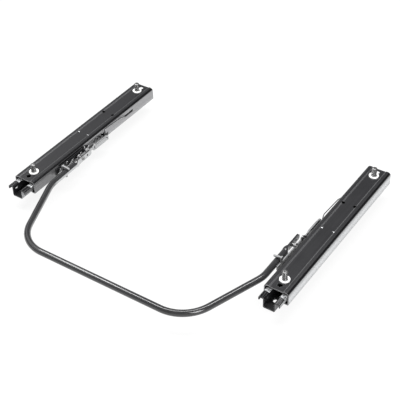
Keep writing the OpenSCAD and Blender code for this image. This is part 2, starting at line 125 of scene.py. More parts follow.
# name, property of the power, place, sides and direction of the first side
LAMPS = (
    ("right_lamp", "key", (1.5, -0.95, 1.1), (0.7, 1.2), (0.0, 1.0, 0.0)),
    ("top_lamp", "top", (-0.21, 0.12, 1.7), (2.3, 0.35), (0.844, 0.536, 0.0)),
    ("left_lamp", "left", (-1.1, 0.15, 1.7), (0.6, 0.35), (0.0, 1.0, 0.0)),
)
CAMERA_AIM = Vector((0.0012, -0.0217, 0.0294))
CAMERA_SHIFT = (0.0285, -0.0335)
SENSOR_WIDTH = 36.0


# Shader maths


class Sock:
    """A socket of a node tree, on which Python's operators add Math nodes."""

    def __init__(self, build, out):
        self.build = build
        self.out = out

    def math(self, kind, *values):
        return self.build.node("ShaderNodeMath", {"operation": kind}, dict(enumerate(values)))

    def __add__(self, other):
        return self.math("ADD", self, other)

    def __sub__(self, other):
        return self.math("SUBTRACT", self, other)

    def __rsub__(self, other):
        return self.math("SUBTRACT", other, self)

    def __mul__(self, other):
        return self.math("MULTIPLY", self, other)

    def __abs__(self):
        return self.math("ABSOLUTE", self)

    def sign(self):
        return self.math("SIGN", self)

    def most(self, other):
        return self.math("MAXIMUM", self, other)

    __radd__ = __add__
    __rmul__ = __mul__


class Build:
    """The node tree of one material or of the world."""

    def __init__(self, tree):
        self.tree = tree
        tree.nodes.clear()

    def node(self, kind, settings=None, sockets=None, out=0):
        """Adds a node, sets it, fills its sockets and returns one of its outputs."""
        made = self.tree.nodes.new(kind)
        for name, value in (settings or {}).items():
            setattr(made, name, value)
        for key, value in (sockets or {}).items():
            if isinstance(value, Sock):
                self.tree.links.new(value.out, made.inputs[key])
            else:
                made.inputs[key].default_value = value
        return Sock(self, made.outputs[out]) if len(made.outputs) else None

    def place(self):
        return self.node("ShaderNodeTexCoord", out="Object")

    def normal(self):
        return self.node("ShaderNodeTexCoord", out="Normal")

    def axes(self, vector):
        first = self.node("ShaderNodeSeparateXYZ", sockets={0: vector})
        return [Sock(self, first.out.node.outputs[i]) for i in range(3)]

    def scaled(self, vector, factors):
        return self.node("ShaderNodeVectorMath", {"operation": "MULTIPLY"}, {0: vector, 1: factors})

    def noise(self, vector, scale, detail=3.0, roughness=0.55):
        return self.node(
            "ShaderNodeTexNoise",
            sockets={"Vector": vector, "Scale": scale, "Detail": detail, "Roughness": roughness},
        )

    def span(self, value, low, high):
        """A smooth step of value, from 0 at low to 1 at high."""
        return self.node(
            "ShaderNodeMapRange",
            {"interpolation_type": "SMOOTHSTEP"},
            {"Value": value, "From Min": low, "From Max": high},
        )

    def mix(self, share, one, other):
        """A colour between two colours."""
        sockets = {0: share, 6: one, 7: other}
        return self.node("ShaderNodeMix", {"data_type": "RGBA"}, sockets, out=2)

    def edge(self, radius, low=0.02, high=0.16):
        """How near a point lies to a sharp edge: 0 on a flat face, 1 on the edge."""
        rounded = self.node("ShaderNodeBevel", {"samples": 6}, {"Radius": radius})
        plain = self.node("ShaderNodeNewGeometry", out="Normal")
        sockets = {0: rounded, 1: plain}
        dot = {"operation": "DOT_PRODUCT"}
        along = self.node("ShaderNodeVectorMath", dot, sockets, out="Value")
        return self.span(1 - along, low, high)

    def band(self, value, low, high, soft):
        """1 where value lies between two limits, with soft ends."""
        return self.span(value, low, low + soft) * self.span(value, high, high - soft)

    def spot(self, dx, dy, radius):
        """1 within a radius of a point, for offsets from it."""
        return self.span(dx * dx + dy * dy, radius**2, 0.7 * radius**2)

    def inner(self, across):
        """1 on the half of a rail that lies towards the middle of the pair."""
        return self.span(across, 1 * MM, -1 * MM)

    def to_middle(self, x, nx):
        """1 on faces that look towards the middle of the pair."""
        return self.span(nx * x.sign(), -0.35, -0.8)

    def bump(self, height, strength, depth):
        sockets = {"Height": height, "Strength": strength, "Distance": depth}
        return self.node("ShaderNodeBump", None, sockets)

    def close(self, shader):
        self.node("ShaderNodeOutputMaterial", None, {"Surface": shader})

    def principled(self, sockets):
        """Ends the tree of a material with a Principled shader."""
        self.close(self.node("ShaderNodeBsdfPrincipled", None, sockets))


def new_finish(name):
    """An empty material and the builder of its nodes."""
    material = bpy.data.materials.new(name)
    material.use_nodes = True
    return material, Build(material.node_tree)


def rgb(colour):
    return (*colour, 1.0)


def shade(colour, factor):
    """A colour made lighter or darker by a factor."""
    return (*(min(1.0, c * factor) for c in colour), 1.0)


def put(material, slot, *names):
    """Gives CAD nodes a finish; the slot argument, the record's slot that it stands for, is not
    used.
    """
    for name in names:
        piece = NODES[name]
        piece.data.materials.clear()
        piece.data.materials.append(material)


def both(*names):
    """The names of the left and right nodes of each kind."""
    return [f"{side}_{name}" for name in names for side in SIDES]


# Finishes


def upper_rail_finish(looks):
    """Black coat with painted highlight lines on the ramps, bright bare walls with painted light
    and shade, painted shade on the arcs and round the latch, and steel worn along the edges.
    """
    material, b = new_finish("upper_rail_coat")
    at = b.place()
    x, y, z = b.axes(at)
    nx, ny, nz = b.axes(b.normal())
    across = abs(x) - RAIL_X
    outward = nx * x.sign() * across.sign()
    wall = b.span(outward, 0.8, 0.99)
    inner = b.inner(across)
    cloud = b.noise(at, 26.0)
    roll = b.noise(b.scaled(at, UPPER_GRAIN), 1.0, 2.0)
    peel = b.noise(at, 1500.0, 2.0)
    edge = b.edge(looks.edge_width, 0.012, 0.11)
    worn = edge * b.span(b.noise(at, 140.0), 0.32, 0.62) * looks.wear
    # the coat, with fine lines along the rail and lighter grey painted on the ramps as their
    # highlight lines
    coat = b.mix(cloud, shade(looks.coat, 0.72), shade(looks.coat, 1.35))
    coat = b.mix(b.span(nz, 0.5, 1.0) * roll * 0.5, coat, shade(looks.coat, 2.1))
    ramp_highlight = b.band(abs(across), RAMP_IN, RAMP_OUT, 0.7 * MM)
    ramp_highlight = ramp_highlight * b.span(nz, 0.3, 0.6) * b.span(z, TOP_Z - 2.2 * MM, TOP_Z - 1.6 * MM)
    coat = b.mix(ramp_highlight * (0.45 + 0.5 * roll), coat, rgb(looks.ramp_highlight_tone))
    # the walls, bright bare metal with painted light and shade: lighter outside than inside, and
    # darker at the top and bottom outside and towards the front inside
    low = b.span(z, TOP_Z - 5 * MM, TOP_Z - 13 * MM)
    outer_tone = b.mix(low, shade(looks.wall, 0.62), shade(looks.wall, 1.0))
    outer_tone = b.mix(b.span(z, 13 * MM, 6 * MM), outer_tone, shade(looks.wall, 0.76))
    low = b.span(z, 14 * MM, 5 * MM)
    inner_tone = b.mix(low, shade(looks.inner_wall, 1.35), shade(looks.inner_wall, 1.6))
    inner_tone = b.mix(b.span(y, 0.0, -0.12), inner_tone, shade(looks.inner_wall, 0.8))
    bright = b.mix(inner, outer_tone, inner_tone)
    bright = b.mix(roll * 0.3, bright, shade(looks.inner_wall, 0.9))
    colour = b.mix(wall, coat, bright)
    colour = b.mix(worn, colour, shade(looks.wall, 0.9))
    # painted shade: black on the shoulders' arcs and on the inner wall round the latch
    arc = b.band(outward, 0.35, 0.97, 0.12) * b.span(z, TOP_Z - 6 * MM, TOP_Z - 5 * MM)
    shade_before_pin = b.band(y, LATCH_Y - DARK_BEFORE, LATCH_Y + 3 * MM, 4 * MM)
    shade_behind_pin = b.band(y, LATCH_Y - 3 * MM, LATCH_Y + DARK_BEHIND, 4 * MM)
    shade_behind_pin = shade_behind_pin * b.span(z, 12.5 * MM, 11 * MM)
    dark = (arc * 0.7).most(shade_before_pin.most(shade_behind_pin) * inner * wall * 0.9)
    colour = b.mix(dark, colour, shade(looks.coat, 0.8))
    # light sheared edge at the front end; painted highlight and shade in the dimples, a black ring
    # painted round the punched holes as shade, and a painted highlight on the crimp
    front = b.span(ny, -0.8, -0.95) * b.span(y, FRONT_Y + 0.6 * MM, FRONT_Y + 0.4 * MM)
    colour = b.mix(front * 0.7, colour, shade(looks.inner_wall, 1.1))
    aside = abs(across) - HOLES_X
    pit = b.spot(aside, y - DIMPLE_Y, DIMPLE_R) * b.span(nz, 0.97, 0.9)
    dimple_light_shade_tone = b.mix(b.span(ny, -0.1, -0.45), BLACK, shade(looks.wall, 1.5))
    colour = b.mix(pit, colour, dimple_light_shade_tone)
    ring = b.spot(aside, y - PUNCH_Y, PUNCH_R)
    colour = b.mix(ring, colour, BLACK)
    end = b.band(y, FRONT_Y + 1.6 * MM, FRONT_Y + 6.4 * MM, 0.3 * MM)
    crimp = end * b.span(ny, -0.2, -0.5) * b.span(TOP_Z - z, 2.2 * MM, 2.6 * MM)
    colour = b.mix(crimp, colour, shade(looks.wall, 1.2))
    satin = looks.coat_rough + 0.1 * (cloud - 0.5) + 0.08 * (roll - 0.5)
    b.principled(
        {
            "Base Color": colour,
            "Metallic": (wall * 0.6).most(worn * 0.6).most(dark).most(ring),
            "Roughness": satin - wall * 0.06 - worn * 0.1,
            "Normal": b.bump(peel * 0.35 + roll * 0.65, 0.12, 0.0003),
        }
    )
    return material


def lower_rail_finish(looks):
    """Dull dark coat of the floor rails, with the flanges that the pads run on and the walls'
    outward sides painted light as reflected light, and painted shade ahead of the upper rails.
    """
    material, b = new_finish("lower_rail_coat")
    at = b.place()
    x, y, z = b.axes(at)
    nx, _, nz = b.axes(b.normal())
    across = abs(x) - RAIL_X
    outward = nx * x.sign() * across.sign()
    wall = b.span(outward, 0.86, 0.985)
    flange = wall * b.span(abs(across), FLANGE_X, FLANGE_X + 1 * MM)
    lip = b.span(nz, 0.6, 0.95) * b.span(z, LIP_Z - 0.9 * MM, LIP_Z)
    inner = b.inner(across)
    ahead = b.span(y, FRONT_Y + 1 * MM, FRONT_Y - 1 * MM)
    cloud = b.noise(at, 30.0)
    roll = b.noise(b.scaled(at, LOWER_GRAIN), 1.0, 2.0)
    edge = b.edge(looks.edge_width, 0.012, 0.11)
    worn = edge * b.span(b.noise(at, 150.0), 0.35, 0.65) * looks.wear
    coat = b.mix(cloud, shade(looks.inside, 0.6), shade(looks.inside, 1.4))
    # the flanges' outward sides bare and painted bright as reflected light, with painted shade on
    # them ahead of the upper rail, lighter outside than inside
    lit_flange = b.mix(roll, shade(looks.wall, 0.8), shade(looks.wall, 1.0))
    shaded_end_tone = b.mix(inner, shade(looks.wall, 0.5), shade(looks.inner_wall, 0.5))
    colour = b.mix(flange, coat, b.mix(ahead, lit_flange, shaded_end_tone))
    # the walls' other outward sides painted lighter as reflected light, most on the inner side
    # ahead of the upper rail
    lit_side_tone = b.mix(ahead * inner, shade(looks.inner_wall, 0.7), shade(looks.wall, 0.7))
    colour = b.mix((wall - flange) * 0.7, colour, lit_side_tone)
    colour = b.mix(lip * b.span(roll, 0.45, 0.7), colour, shade(looks.inner_wall, 0.9))
    colour = b.mix(worn, colour, shade(looks.wall, 0.7))
    # bare flecks on the lips where the upper rail ends
    bare = b.band(y, FRONT_Y - 7 * MM, FRONT_Y + 4 * MM, 1.5 * MM)
    bare = bare * b.span(z, LIP_Z - 1.4 * MM, LIP_Z)
    bare = bare * b.span(nz, 0.1, 0.5) * b.span(b.noise(at, 420.0), 0.4, 0.55)
    colour = b.mix(bare, colour, shade(looks.wall, 1.2))
    b.principled(
        {
            "Base Color": colour,
            "Metallic": (flange * 0.6).most(worn * 0.5).most(lip * 0.5),
            "Roughness": 0.55 + 0.2 * (cloud - 0.5) - flange * 0.2 - lip * 0.2,
            "Specular IOR Level": 0.25,
            "Normal": b.bump(roll, 0.14, 0.0003),
        }
    )
    return material


def bar_finish(looks):
    """Glossy black coat of the tube, scuffed a little, with a painted reflection in bright steel on
    the sides to the middle, strongest on the flattened ends, and painted highlights on its edges.
    """
    material, b = new_finish("bar_coat")
    at = b.place()
    x, y, _ = b.axes(at)
    nx, _, nz = b.axes(b.normal())
    cloud = b.noise(at, 34.0)
    fine = b.noise(at, 900.0, 2.0)
    scuff = b.span(b.noise(b.scaled(at, SCUFF_GRAIN), 1.0, 4.0), 0.6, 0.74)
    # painted reflection: bright steel on the sides to the middle and below, faintly along the tube
    # and fully on the flattened ends
    side = b.span(nx * x.sign(), -0.45, -0.75) * b.span(nz, 0.5, 0.36)
    blade = (0.22 + 0.78 * b.span(y, looks.bright_from, looks.bright_from + 14 * MM)) * side
    coat = b.mix(cloud, shade(looks.bar, 0.75), shade(looks.bar, 1.3))
    coat = b.mix(scuff * 0.25, coat, shade(looks.bar, 2.6))
    plate = b.mix(fine, shade(looks.blade, 0.86), shade(looks.blade, 1.08))
    colour = b.mix(blade, coat, plate)
    # edges painted lighter as highlights
    colour = b.mix(b.edge(0.5 * MM, 0.02, 0.14) * 0.25, colour, shade(looks.blade, 0.6))
    b.principled(
        {
            "Base Color": colour,
            "Metallic": blade * 0.85,
            "Roughness": looks.bar_rough + 0.12 * (cloud - 0.5) + scuff * 0.1,
            "Specular IOR Level": 0.15,
            "Coat Weight": 0.95,
            "Coat Roughness": 0.09,
            "Normal": b.bump(fine, 0.08, 0.0002),
        }
    )
    return material


def steel_finish(name, colour, rough, grain, metal=0.9):
    """Plated or bare steel with fine grain, blotches and edges painted brighter as highlights."""
    material, b = new_finish(name)
    at = b.place()
    cloud = b.noise(at, 70.0)
    lines = b.noise(b.scaled(at, grain), 1.0, 3.0)
    tone = b.mix(cloud, shade(colour, 0.74), shade(colour, 1.08))
    tone = b.mix(lines * 0.35, tone, shade(colour, 0.62))
    # edges painted brighter as highlights
    tone = b.mix(b.edge(0.4 * MM) * 0.6, tone, shade(colour, 1.3))
    b.principled(
        {
            "Base Color": tone,
            "Metallic": metal,
            "Roughness": rough + 0.16 * (cloud - 0.5) + 0.1 * (lines - 0.5),
            "Normal": b.bump(lines, 0.14, 0.0002),
        }
    )
    return material


def lever_finish(steel, looks):
    """Stamped zinc lever: painted light on the side to the middle and on its tops, painted shade in
    dull black on the side to the rail, grey sheared edges with painted highlights.
    """
    material, b = new_finish("lever_plate")
    at = b.place()
    x, _, z = b.axes(at)
    nx, _, nz = b.axes(b.normal())
    cloud = b.noise(at, 70.0)
    lines = b.noise(b.scaled(at, LEVER_GRAIN), 1.0, 3.0)
    # painted light and shade: the side to the middle bright as lit, the hook's top and the upward
    # sides as highlights, the side to the rail black as shade
    lit_face = b.to_middle(x, nx)
    back = b.span(nx * x.sign(), 0.35, 0.8)
    plate = b.mix(cloud, shade(steel.plate, 0.78), shade(steel.plate, 1.08))
    plate = b.mix(lines * 0.35, plate, shade(steel.plate, 0.62))
    tone = b.mix(cloud, shade(steel.shear, 0.7), shade(steel.shear, 1.3))
    hook = b.span(z, 20 * MM, 22 * MM) * b.span(nz, 0.4, 0.8)
    top = b.span(nz, 0.5, 0.9) * 0.45
    tone = b.mix(lit_face.most(hook * 0.6).most(top), tone, plate)
    tone = b.mix(back, tone, shade(looks.coat, 0.4))
    # edges painted a mid grey as highlights
    tone = b.mix(b.edge(0.4 * MM) * 0.5, tone, shade(steel.plate, 0.8))
    b.principled(
        {
            "Base Color": tone,
            "Metallic": 0.2 + lit_face * 0.65,
            "Roughness": 0.36 + 0.16 * (cloud - 0.5) + 0.1 * (lines - 0.5),
            "Normal": b.bump(lines, 0.14, 0.0002),
        }
    )
    return material


def bracket_finish(steel, looks):
    """Black plate against the rail, with the sides of ribs and boss that stand off it and look to
    the middle painted bright as lit, and their tops left black as painted shade.
    """
    material, b = new_finish("bracket_plate")
    at = b.place()
    x, _, _ = b.axes(at)
    nx, _, _ = b.axes(b.normal())
    # painted light and shade: bright where ribs and boss stand off the plate and look to the
    # middle; black elsewhere, partly the coat and partly painted shade
    lit_off_plate = b.span(RAIL_X - abs(x), HALF_W + PLATE_OFF, HALF_W + PLATE_OFF + 0.4 * MM)
    lit_off_plate = lit_off_plate * b.to_middle(x, nx)
    cloud = b.noise(at, 90.0)
    grain = b.noise(at, 700.0)
    plate = b.mix(cloud, shade(looks.coat, 0.8), shade(looks.coat, 1.4))
    bright = b.mix(cloud, shade(steel.plate, 1.2), shade(steel.plate, 1.6))
    b.principled(
        {
            "Base Color": b.mix(lit_off_plate, plate, bright),
            "Metallic": lit_off_plate * 0.25,
            "Roughness": 0.36 + 0.12 * (cloud - 0.5),
            "Normal": b.bump(grain, 0.1, 0.0002),
        }
    )
    return material


def nylon_finish(name, colour, rough=0.42):
    """Moulded nylon, faintly mottled in colour and gloss, with edges painted a little lighter as
    highlights.
    """
    material, b = new_finish(name)
    at = b.place()
    cloud = b.noise(at, 120.0)
    fine = b.noise(at, 1400.0, 2.0)
    tone = b.mix(cloud, shade(colour, 0.95), shade(colour, 1.02))
    # edges painted a little lighter as highlights
    tone = b.mix(b.edge(0.4 * MM, 0.02, 0.2) * 0.3, tone, shade(colour, 1.05))
    b.principled(
        {
            "Base Color": tone,
            "Roughness": rough + 0.12 * (cloud - 0.5),
            "Normal": b.bump(fine, 0.1, 0.0002),
        }
    )
    return material


# Meshes


def ring_mesh(name, rings):
    """A closed mesh through rows of points, each row a ring, with a flat cap at both ends."""
    rings = np.asarray(rings, float)
    rows, sides = rings.shape[:2]
    index = np.arange(rows * sides).reshape(rows, sides)
    turned = np.roll(index, -1, axis=1)
    quads = np.stack([index[:-1], turned[:-1], turned[1:], index[1:]], axis=-1).reshape(-1, 4)
    faces = quads.tolist() + [index[0, ::-1].tolist(), index[-1].tolist()]
    mesh = bpy.data.meshes.new(name)
    mesh.from_pydata(rings.reshape(-1, 3).tolist(), [], faces)
    mesh.update()
    mesh.polygons.foreach_set("use_smooth", np.ones(len(mesh.polygons), bool))
    mesh.set_sharp_from_angle(angle=SHARP_ANGLE)
    piece = bpy.data.objects.new(name, mesh)
    bpy.context.scene.collection.objects.link(piece)
    return piece


def thread_rings(low, high, sizes):
    """Rows of points of a stud: head, plain neck, a real helical thread and a rounded tip."""
    centre = (low + high) / 2
    angles = np.linspace(0.0, 2 * math.pi, sizes.sides, endpoint=False)
    head = (high.x - low.x) / 2
    major = sizes.stud_d / 2
    neck_top = high.z - sizes.stud_len
    tip = high.z - sizes.tip
    rows = [
        (low.z, head - sizes.chamfer),
        (low.z + sizes.chamfer, head),
        (low.z + sizes.head_h, head),
        (low.z + sizes.head_h, major + sizes.chamfer),
        (neck_top, major + sizes.chamfer),
    ]
    rings = [np.stack([np.full_like(angles, r), np.full_like(angles, z)]) for z, r in rows]
    for z in np.arange(neck_top, tip, sizes.pitch / sizes.rows_a_turn):
        phase = np.mod((z - neck_top) / sizes.pitch - angles / (2 * math.pi), 1.0)
        cut = np.clip(FLANK * (1 - np.abs(2 * phase - 1)) - CREST, 0.0, 1.0)
        fade = min(1.0, (z - neck_top) / sizes.pitch, 0.3 + (tip - z) / sizes.pitch)
        rings.append(np.stack([major - sizes.depth * cut * fade, np.full_like(angles, z)]))
    for share, narrow in TIP_SHAPE:
        z = tip + sizes.tip * share
        rings.append(np.stack([np.full_like(angles, major * narrow), np.full_like(angles, z)]))
    return [
        np.stack([centre.x + r * np.cos(angles), centre.y + r * np.sin(angles), z], axis=1)
        for r, z in rings
    ]


def rounded_path(points, radius, steps=7, most=0.45):
    """A polyline with its corners turned into arcs, which take up to a share of a side."""
    points = [np.asarray(p, float) for p in points]
    path = [points[0]]
    for before, corner, after in zip(points, points[1:], points[2:]):
        a = (before - corner) / np.linalg.norm(before - corner)
        c = (after - corner) / np.linalg.norm(after - corner)
        half = math.acos(float(np.clip(a @ c, -1.0, 1.0))) / 2
        room = most * min(np.linalg.norm(before - corner), np.linalg.norm(after - corner))
        cut = min(room, radius / math.tan(half))
        begin, end = corner + a * cut, corner + c * cut
        for t in np.linspace(0.0, 1.0, steps):
            path.append((1 - t) ** 2 * begin + 2 * t * (1 - t) * corner + t**2 * end)
    path.append(points[-1])
    return np.array(path)


def finer(path, longest):
    """The same line with no step longer than a length."""
    made = [path[0]]
    for a, c in zip(path, path[1:]):
        count = max(1, math.ceil(np.linalg.norm(c - a) / longest))
        made += [a + (c - a) * k / count for k in range(1, count + 1)]
    return np.array(made)


def wire_rings(path, radius, sides):
    """Rings round a line, turned as little as possible from one to the next, with narrowed ends."""
    ahead = np.gradient(path, axis=0)
    ahead /= np.linalg.norm(ahead, axis=1, keepdims=True)
    start = np.cross(ahead[0], (0.0, 0.0, 1.0))
    if np.linalg.norm(start) < 0.1:
        start = np.cross(ahead[0], (1.0, 0.0, 0.0))
    angles = np.linspace(0.0, 2 * math.pi, sides, endpoint=False)
    rings = []
    for k, point in enumerate(path):
        start = start - ahead[k] * (start @ ahead[k])
        start /= np.linalg.norm(start)
        other = np.cross(ahead[k], start)
        r = radius * (WIRE_END if k in (0, len(path) - 1) else 1.0)
        rings.append([point + r * (math.cos(t) * start + math.sin(t) * other) for t in angles])
    return rings


# Properties


class RailLooks(bpy.types.PropertyGroup):
    """Finish of the rolled rails."""

    coat: FloatVectorProperty(
        name="Coat", description="Black coat of the rails",
        subtype="COLOR", size=3, default=(0.0132, 0.0132, 0.0146),
    )
    wall: FloatVectorProperty(
        name="Walls", description="Bright outer walls",
        subtype="COLOR", size=3, default=(0.6, 0.61, 0.62),
    )
    inner_wall: FloatVectorProperty(
        name="Inner walls", description="Walls towards the middle",
        subtype="COLOR", size=3, default=(0.22, 0.22, 0.225),
    )
    inside: FloatVectorProperty(
        name="Floor rails", description="Dark coat of the lower rails",
        subtype="COLOR", size=3, default=(0.006, 0.006, 0.007),
    )
    # grey painted on the ramps as their highlight lines
    ramp_highlight_tone: FloatVectorProperty(
        name="Rubbed", description="Coat rubbed grey on the ramps",
        subtype="COLOR", size=3, default=(0.085, 0.085, 0.088),
    )
    coat_rough: FloatProperty(
        name="Roughness", description="Roughness of the coat", default=0.36, min=0.05, max=1.0
    )
    wear: FloatProperty(
        name="Wear", description="Bare steel along the edges", default=0.55, min=0.0, max=1.0
    )
    edge_width: FloatProperty(
        name="Edge width", description="Reach of the wear from an edge",
        default=0.0007, unit="LENGTH",
    )


class BarLooks(bpy.types.PropertyGroup):
    """Finish of the release bar."""

    bar: FloatVectorProperty(
        name="Tube", description="Black coat of the tube",
        subtype="COLOR", size=3, default=(0.027, 0.027, 0.0285),
    )
    blade: FloatVectorProperty(
        name="Ends", description="Bright flattened ends",
        subtype="COLOR", size=3, default=(0.48, 0.485, 0.49),
    )
    bar_rough: FloatProperty(
        name="Roughness", description="Roughness of the coat", default=0.22, min=0.05, max=1.0
    )
    bright_from: FloatProperty(
        name="Bright from", description="Where the ends turn bright along the rails",
        default=-0.142, unit="LENGTH",
    )


class SteelLooks(bpy.types.PropertyGroup):
    """Colours of the plated steel pieces."""

    plate: FloatVectorProperty(
        name="Levers", description="Zinc on the stamped levers",
        subtype="COLOR", size=3, default=(0.5, 0.505, 0.51),
    )
    shear: FloatVectorProperty(
        name="Edges", description="Sheared edges of the levers",
        subtype="COLOR", size=3, default=(0.16, 0.16, 0.165),
    )
    stud: FloatVectorProperty(
        name="Studs", description="Zinc on studs, pins and rivets",
        subtype="COLOR", size=3, default=(0.27, 0.27, 0.27),
    )
    wire: FloatVectorProperty(
        name="Springs", description="Drawn spring wire",
        subtype="COLOR", size=3, default=(0.15, 0.15, 0.155),
    )
    ball: FloatVectorProperty(
        name="Balls", description="Polished bearing steel",
        subtype="COLOR", size=3, default=(0.78, 0.78, 0.8),
    )


class NylonLooks(bpy.types.PropertyGroup):
    """Colours of the moulded pieces."""

    washer: FloatVectorProperty(
        name="Washers", description="White nylon washers",
        subtype="COLOR", size=3, default=(0.93, 0.93, 0.92),
    )
    pad: FloatVectorProperty(
        name="Pads", description="Guide pads in the hooks",
        subtype="COLOR", size=3, default=(0.74, 0.72, 0.66),
    )
    cage: FloatVectorProperty(
        name="Cages", description="Ball cages",
        subtype="COLOR", size=3, default=(0.6, 0.55, 0.42),
    )


class ThreadSizes(bpy.types.PropertyGroup):
    """Sizes of the stud threads."""

    stud_d: FloatProperty(
        name="Diameter", description="Outer diameter", default=0.01, unit="LENGTH"
    )
    stud_len: FloatProperty(
        name="Length", description="Length above the washer", default=0.018, unit="LENGTH"
    )
    head_h: FloatProperty(
        name="Head", description="Height of the head below the panel", default=0.0024, unit="LENGTH"
    )
    chamfer: FloatProperty(
        name="Chamfer", description="Chamfer of the head and step at the neck",
        default=0.0003, unit="LENGTH",
    )
    pitch: FloatProperty(
        name="Pitch", description="Advance of one turn", default=0.0015, unit="LENGTH"
    )
    depth: FloatProperty(
        name="Depth", description="Depth of the thread", default=0.0008, unit="LENGTH"
    )
    tip: FloatProperty(
        name="Tip", description="Height of the rounded tip", default=0.0013, unit="LENGTH"
    )
    sides: IntProperty(name="Sides", description="Points round the stud", default=40, min=8)
    rows_a_turn: IntProperty(name="Rows", description="Rows of points in a turn", default=10, min=4)


class SpringSizes(bpy.types.PropertyGroup):
    """Sizes of the return springs."""

    wire_d: FloatProperty(name="Wire", description="Wire diameter", default=0.0018, unit="LENGTH")
    bend_r: FloatProperty(
        name="Bends", description="Radius of the wire's bends", default=0.004, unit="LENGTH"
    )
    hook_drop: FloatProperty(
        name="Hook", description="Drop from the wire's shoulder to the slot",
        default=0.007, unit="LENGTH",
    )
    off_wall: FloatProperty(
        name="Off the wall", description="From the hook's end to the wire's line",
        default=0.0042, unit="LENGTH",
    )
    rise_len: FloatProperty(
        name="Rise", description="Length of the wire's rise from the slot",
        default=0.019, unit="LENGTH",
    )
    crest_z: FloatProperty(
        name="Crest", description="Height of the wire above the lever",
        default=0.0265, unit="LENGTH",
    )
    leg_in: FloatProperty(
        name="Leg", description="How far behind the tail the leg starts",
        default=0.004, unit="LENGTH",
    )
    tail_len: FloatProperty(
        name="Tail", description="Length of the tail on the lever", default=0.0091, unit="LENGTH"
    )
    step: FloatProperty(
        name="Step", description="Longest step along the wire", default=0.0025, unit="LENGTH"
    )
    sides: IntProperty(name="Sides", description="Points round the wire", default=14, min=6)


class StageLooks(bpy.types.PropertyGroup):
    """Floor, lamps and camera."""

    floor: FloatVectorProperty(
        name="Floor", description="Colour of the floor",
        subtype="COLOR", size=3, default=(0.9, 0.9, 0.9),
    )
    floor_z: FloatProperty(
        name="Floor height", description="Low enough for the bar when it drops",
        default=-0.028, unit="LENGTH",
    )
    sky: FloatProperty(
        name="Sky", description="Strength of the soft light all round", default=0.55, min=0.0
    )
    dim: FloatProperty(
        name="Dim", description="How much darker the mirrored sky is overhead", default=0.88
    )
    patch: FloatProperty(
        name="Patch", description="How much lighter its upper left part is", default=0.88
    )
    key: FloatProperty(
        name="Right lamp", description="Power of the lamp at the right", default=26.0, unit="POWER"
    )
    top: FloatProperty(
        name="Top lamp", description="Power of the lamp overhead", default=35.0, unit="POWER"
    )
    left: FloatProperty(
        name="Left lamp", description="Power of the lamp at the left", default=7.0, unit="POWER"
    )
    azimuth: FloatProperty(
        name="Azimuth", description="Camera's turn", default=math.radians(35.74), subtype="ANGLE"
    )
    elevation: FloatProperty(
        name="Elevation", description="Camera's rise", default=math.radians(38.5), subtype="ANGLE"
    )
    roll: FloatProperty(
        name="Roll", description="Camera's tilt", default=math.radians(-2.24), subtype="ANGLE"
    )
    distance: FloatProperty(
        name="Distance", description="Camera to its aim", default=1.928, unit="LENGTH"
    )
    lens: FloatProperty(name="Lens", description="Focal length in millimetres", default=91.26)


# Operators


class RAILS_OT_coat_rails(bpy.types.Operator):
    """Finish the upper and lower rails"""

    bl_idname = "rails.coat_rails"
    bl_label = "Coat Rails"

    def execute(self, context):
        looks = context.scene.rail_looks
        put(upper_rail_finish(looks), "rail_paint", *both("upper_rail"))
        put(lower_rail_finish(looks), "rail_paint", *both("lower_rail"))
        return {"FINISHED"}


class RAILS_OT_coat_bar(bpy.types.Operator):
    """Finish the release bar"""

    bl_idname = "rails.coat_bar"
    bl_label = "Coat Release Bar"

    def execute(self, context):
        put(bar_finish(context.scene.bar_looks), "bar_paint", "release_bar")
        return {"FINISHED"}


class RAILS_OT_plate_latches(bpy.types.Operator):
    """Finish the levers, brackets, pins and rivets"""

    bl_idname = "rails.plate_latches"
    bl_label = "Plate Latches"

    def execute(self, context):
        looks = context.scene.steel_looks
        coat = context.scene.rail_looks
        pins = steel_finish("pin_zinc", looks.stud, 0.3, PIN_GRAIN)
        put(lever_finish(looks, coat), "lever_steel", *both("latch_lever"))
        put(bracket_finish(looks, coat), "lever_steel", *both("pivot_bracket"))
        put(pins, "zinc_steel", *both("pivot_pin", "bracket_rivets", "bar_rivet"))
        return {"FINISHED"}


class RAILS_OT_cut_studs(bpy.types.Operator):
    """Build the seat studs with real threads"""

    bl_idname = "rails.cut_studs"
    bl_label = "Cut Stud Threads"

    def execute(self, context):
        sizes = context.scene.thread_sizes
        finish = steel_finish("stud_zinc", context.scene.steel_looks.stud, 0.4, STUD_GRAIN)
        for name in both("front_stud", "rear_stud"):
            piece = ring_mesh(name + "_thread", thread_rings(*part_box(name), sizes))
            piece.data.materials.append(finish)
            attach(piece, name.split("_")[0] + "_carriage")
            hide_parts(name)
        return {"FINISHED"}


